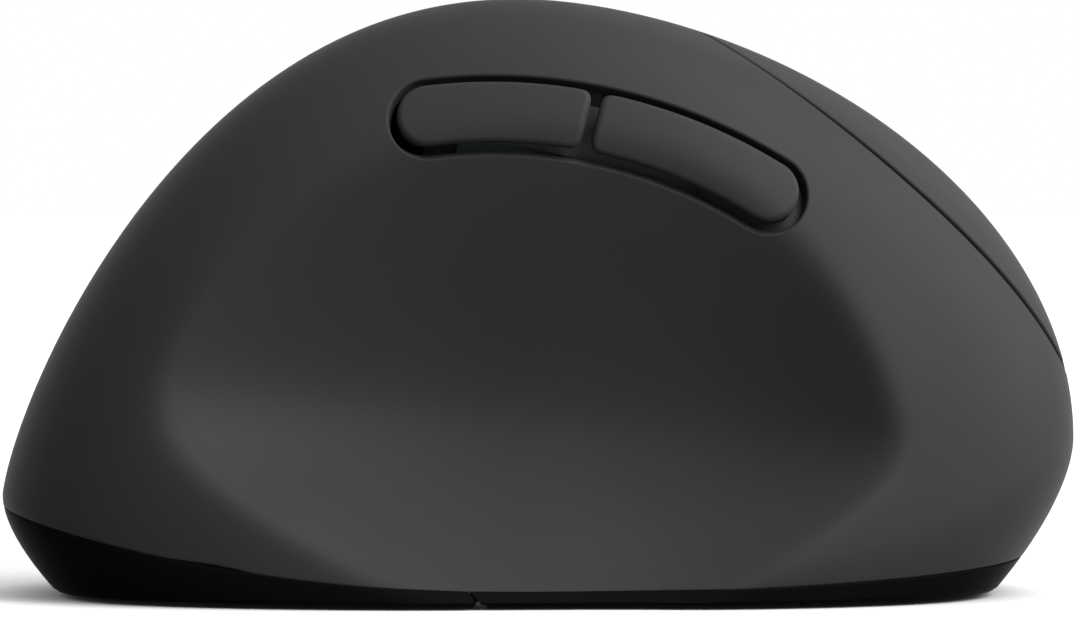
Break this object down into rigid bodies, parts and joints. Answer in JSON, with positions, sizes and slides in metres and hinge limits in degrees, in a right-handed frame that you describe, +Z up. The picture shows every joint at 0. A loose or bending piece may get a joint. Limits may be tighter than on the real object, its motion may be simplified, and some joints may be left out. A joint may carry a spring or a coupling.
{
  "type": "vertical ergonomic mouse",
  "caption": "Left-handed vertical ergonomic mouse: sculpted dark shell with a thumb hollow, curved side buttons, sprung main keys, scroll wheel and sliding battery cover.",
  "frame": {"origin": "middle of the footprint at desk level, under the glide feet", "axes": "+X forward to the keys' front edge, +Y to the finger side, -Y to the thumb side, +Z up"},
  "size_m": [0.12, 0.0767, 0.0666],
  "materials": {
    "shell": "fine matte moulded grain",
    "base": "satin moulded",
    "trim": "satin moulded",
    "foot": "smooth low-friction pad",
    "tyre": "ribbed matte rubber",
    "frame": "plain moulded",
    "steel": "plated",
    "contact": "plated spring sheet",
    "board": "solder mask",
    "chip": "moulded package",
    "nub": "moulded",
    "lens": "clear moulded lens",
    "lamp": "clear tinted",
    "cell": "printed wrap without text",
    "ribbon": "flat flexible cable"
  },
  "bodies": {
    "case": {"upper_shell": "shell", "wheel_strip": "trim", "base_plate": "base", "front_feet": "foot", "base_screws": "steel", "sensor_lens": "lens", "chassis": "frame", "chassis_screws": "steel", "main_board": "board", "sensor_chip": "chip", "sensor_lamp": "lamp", "power_switch": "steel", "battery_holder": "frame", "holder_screws": "steel", "battery_cells": "cell", "contact_springs": "steel", "contact_plates": "contact", "switch_board": "board", "index_switch": "chip", "middle_switch": "chip", "index_rod": "steel", "middle_rod": "steel", "wheel_switch": "chip", "resolution_switch": "chip", "side_board": "board", "side_guide": "frame", "back_switch": "chip", "forward_switch": "chip", "side_ribbon": "ribbon"},
    "index_key": {"index_key": "shell"},
    "middle_key": {"middle_key": "shell"},
    "back_button": {"back_button": "shell"},
    "forward_button": {"forward_button": "shell"},
    "wheel_carrier": {"wheel_carrier": "frame", "wheel_encoder": "chip"},
    "wheel": {"wheel_hub": "frame", "wheel_tyre": "tyre", "wheel_axle": "steel"},
    "resolution_button": {"resolution_button": "trim"},
    "battery_cover": {"battery_cover": "base", "rear_feet": "foot"},
    "power_slider": {"power_slider": "trim"},
    "usb_receiver": {"usb_receiver": "trim"},
    "index_plunger": {"index_plunger": "nub"},
    "middle_plunger": {"middle_plunger": "nub"},
    "wheel_plunger": {"wheel_plunger": "nub"},
    "resolution_plunger": {"resolution_plunger": "nub"},
    "back_plunger": {"back_plunger": "nub"},
    "forward_plunger": {"forward_plunger": "nub"}
  },
  "joints": [
    {"name": "index_key_press", "type": "hinge", "parent": "case", "child": "index_key", "pos_m": [0.014, 0.00065, 0.04787], "axis": [0, 0.6691, -0.7431], "range_deg": [0, 0.45], "stiffness_Nm_per_rad": 4},
    {"name": "middle_key_press", "type": "hinge", "parent": "case", "child": "middle_key", "pos_m": [0.014, 0.01735, 0.02933], "axis": [0, 0.6691, -0.7431], "range_deg": [0, 0.45], "stiffness_Nm_per_rad": 4},
    {"name": "back_button_press", "type": "slide", "parent": "case", "child": "back_button", "axis": [0, 1, 0], "range_m": [0, 0.0006], "stiffness_N_per_m": 1200},
    {"name": "forward_button_press", "type": "slide", "parent": "case", "child": "forward_button", "axis": [0, 1, 0], "range_m": [0, 0.0006], "stiffness_N_per_m": 1200},
    {"name": "wheel_press", "type": "slide", "parent": "case", "child": "wheel_carrier", "axis": [0, -0.7431, -0.6691], "range_m": [0, 0.0004], "stiffness_N_per_m": 2500},
    {"name": "wheel_spin", "type": "hinge", "parent": "wheel_carrier", "child": "wheel", "pos_m": [0.036, 0.00848, 0.03514], "axis": [-0.1368, 0.6628, -0.7362], "continuous": true},
    {"name": "resolution_press", "type": "slide", "parent": "case", "child": "resolution_button", "axis": [0, -0.7431, -0.6691], "range_m": [0, 0.0005], "stiffness_N_per_m": 1200},
    {"name": "battery_cover_slide", "type": "slide", "parent": "case", "child": "battery_cover", "axis": [-1, 0, 0], "range_m": [0, 0.014]},
    {"name": "power_slide", "type": "slide", "parent": "case", "child": "power_slider", "axis": [1, 0, 0], "range_m": [0, 0.003]},
    {"name": "receiver_pull", "type": "slide", "parent": "case", "child": "usb_receiver", "axis": [0, 0, -1], "range_m": [0, 0.01]},
    {"name": "index_plunger_press", "type": "slide", "parent": "case", "child": "index_plunger", "axis": [0, -0.7431, -0.6691], "range_m": [0, 0.0003]},
    {"name": "middle_plunger_press", "type": "slide", "parent": "case", "child": "middle_plunger", "axis": [0, -0.7431, -0.6691], "range_m": [0, 0.0003]},
    {"name": "wheel_plunger_press", "type": "slide", "parent": "case", "child": "wheel_plunger", "axis": [0, -0.7431, -0.6691], "range_m": [0, 0.0005]},
    {"name": "resolution_plunger_press", "type": "slide", "parent": "case", "child": "resolution_plunger", "axis": [0, -0.7431, -0.6691], "range_m": [0, 0.0006]},
    {"name": "back_plunger_press", "type": "slide", "parent": "case", "child": "back_plunger", "axis": [0, 1, 0], "range_m": [0, 0.0007]},
    {"name": "forward_plunger_press", "type": "slide", "parent": "case", "child": "forward_plunger", "axis": [0, 1, 0], "range_m": [0, 0.0007]}
  ],
  "couplings": [
    {"joint": "index_plunger_press", "follows": "index_key_press", "m_per_rad": 0.026},
    {"joint": "middle_plunger_press", "follows": "middle_key_press", "m_per_rad": 0.026},
    {"joint": "wheel_plunger_press", "follows": "wheel_press", "ratio": 1},
    {"joint": "resolution_plunger_press", "follows": "resolution_press", "ratio": 1},
    {"joint": "back_plunger_press", "follows": "back_button_press", "ratio": 1},
    {"joint": "forward_plunger_press", "follows": "forward_button_press", "ratio": 1}
  ]
}
